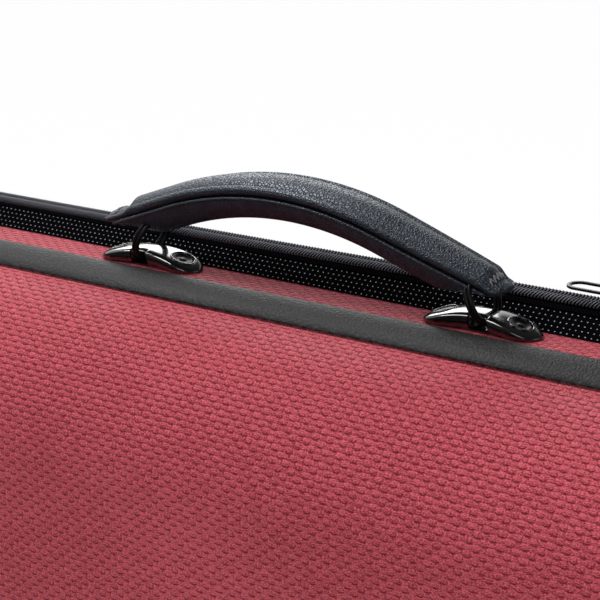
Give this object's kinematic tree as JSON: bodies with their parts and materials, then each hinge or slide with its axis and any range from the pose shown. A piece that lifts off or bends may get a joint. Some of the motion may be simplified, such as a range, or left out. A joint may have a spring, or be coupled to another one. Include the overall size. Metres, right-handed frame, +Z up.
{
  "type": "violin case",
  "caption": "Oblong zip-up violin case: woven cover, rubber edging, leather handle on ringed brackets, hinged lid, padded violin bed, pocket and bow holders.",
  "frame": {"origin": "under the middle of the case, in the plane of the feet on its spine", "axes": "+X along the case towards the zip's closed end, +Y from the base shell to the lid, +Z up from the spine to the handle"},
  "size_m": [0.8082, 0.1392, 0.3066],
  "materials": {
    "red_woven_cover": "coarse basket weave, matt, red",
    "rubber_edging": "dark grey, satin",
    "black_webbing": "matt black, with a grid of pale dots on the band",
    "zip_nylon": "black nylon",
    "black_gloss": "glossy black",
    "dark_metal": "black satin coating",
    "pin_steel": "plain steel",
    "spring_steel": "blued strip",
    "grained_leather": "fine grain, black, soft sheen",
    "plush_lining": "short pile, charcoal"
  },
  "bodies": {
    "base": {"base_shell": "red_woven_cover", "base_trim": "rubber_edging", "zip_band_base": "black_webbing", "zip_tape_base": "black_webbing", "zip_coil_base": "zip_nylon", "bed_floor": "plush_lining", "head_block_upper": "plush_lining", "head_block_lower": "plush_lining", "bout_block_upper": "plush_lining", "bout_block_lower": "plush_lining", "lower_pad": "plush_lining", "upper_pad": "plush_lining", "neck_rest": "plush_lining", "neck_strap": "grained_leather", "handle_bracket_left": "black_gloss", "handle_bracket_right": "black_gloss", "bracket_rivet_left_inner": "dark_metal", "bracket_rivet_left_outer": "dark_metal", "bracket_rivet_right_inner": "dark_metal", "bracket_rivet_right_outer": "dark_metal", "base_foot_left": "rubber_edging", "base_foot_right": "rubber_edging", "hinge_leaf_base_left": "dark_metal", "hinge_leaf_base_right": "dark_metal", "hinge_pin_left": "pin_steel", "hinge_pin_right": "pin_steel"},
    "lid": {"lid_shell": "red_woven_cover", "lid_lining": "plush_lining", "lid_trim": "rubber_edging", "zip_band_lid": "black_webbing", "zip_tape_lid": "black_webbing", "zip_coil_lid": "zip_nylon", "bow_post_upper": "zip_nylon", "bow_post_lower": "zip_nylon", "bow_sleeve_upper": "plush_lining", "bow_sleeve_lower": "plush_lining", "lid_foot_left": "rubber_edging", "lid_foot_right": "rubber_edging", "hinge_leaf_lid_left": "dark_metal", "hinge_leaf_lid_right": "dark_metal"},
    "handle": {"handle_panel": "grained_leather", "handle_wrap": "grained_leather", "handle_core": "spring_steel", "handle_piping_front": "grained_leather", "handle_piping_rear": "grained_leather", "handle_ring_left": "dark_metal", "handle_ring_right": "dark_metal"},
    "slider_left": {"zip_slider_left": "dark_metal"},
    "slider_right": {"zip_slider_right": "dark_metal"},
    "pull_left": {"zip_pull_left": "dark_metal"},
    "pull_right": {"zip_pull_right": "dark_metal"},
    "bow_turn_upper": {"bow_turn_upper": "zip_nylon"},
    "bow_turn_lower": {"bow_turn_lower": "zip_nylon"},
    "pocket_flap": {"pocket_flap": "plush_lining", "pocket_pull_loop": "grained_leather"}
  },
  "joints": [
    {"name": "lid_hinge", "type": "hinge", "parent": "base", "child": "lid", "pos_m": [0, 0.01262, 0.005], "axis": [-1, 0, 0], "range_deg": [0, 100]},
    {"name": "handle_swing", "type": "hinge", "parent": "base", "child": "handle", "pos_m": [0, -0.00848, 0.2798], "axis": [1, 0, 0], "range_deg": [-50, 50]},
    {"name": "slider_left_run", "type": "slide", "parent": "base", "child": "slider_left", "axis": [1, 0, 0], "range_m": [-0.43, 0]},
    {"name": "slider_right_run", "type": "slide", "parent": "base", "child": "slider_right", "axis": [1, 0, 0], "range_m": [0, 0.16]},
    {"name": "pull_left_lift", "type": "hinge", "parent": "slider_left", "child": "pull_left", "pos_m": [0.113, 0.01262, 0.28245], "axis": [0, 1, 0], "range_deg": [0, 100]},
    {"name": "pull_right_lift", "type": "hinge", "parent": "slider_right", "child": "pull_right", "pos_m": [0.135, 0.01262, 0.28245], "axis": [0, -1, 0], "range_deg": [0, 100]},
    {"name": "bow_turn_upper_turn", "type": "hinge", "parent": "lid", "child": "bow_turn_upper", "pos_m": [0.3, 0.0427, 0.191], "axis": [0, 1, 0], "range_deg": [-90, 90]},
    {"name": "bow_turn_lower_turn", "type": "hinge", "parent": "lid", "child": "bow_turn_lower", "pos_m": [0.3, 0.0427, 0.087], "axis": [0, 1, 0], "range_deg": [-90, 90]},
    {"name": "pocket_flap_lift", "type": "hinge", "parent": "base", "child": "pocket_flap", "pos_m": [-0.0975, -0.00018, 0.243], "axis": [1, 0, 0], "range_deg": [0, 90]}
  ]
}
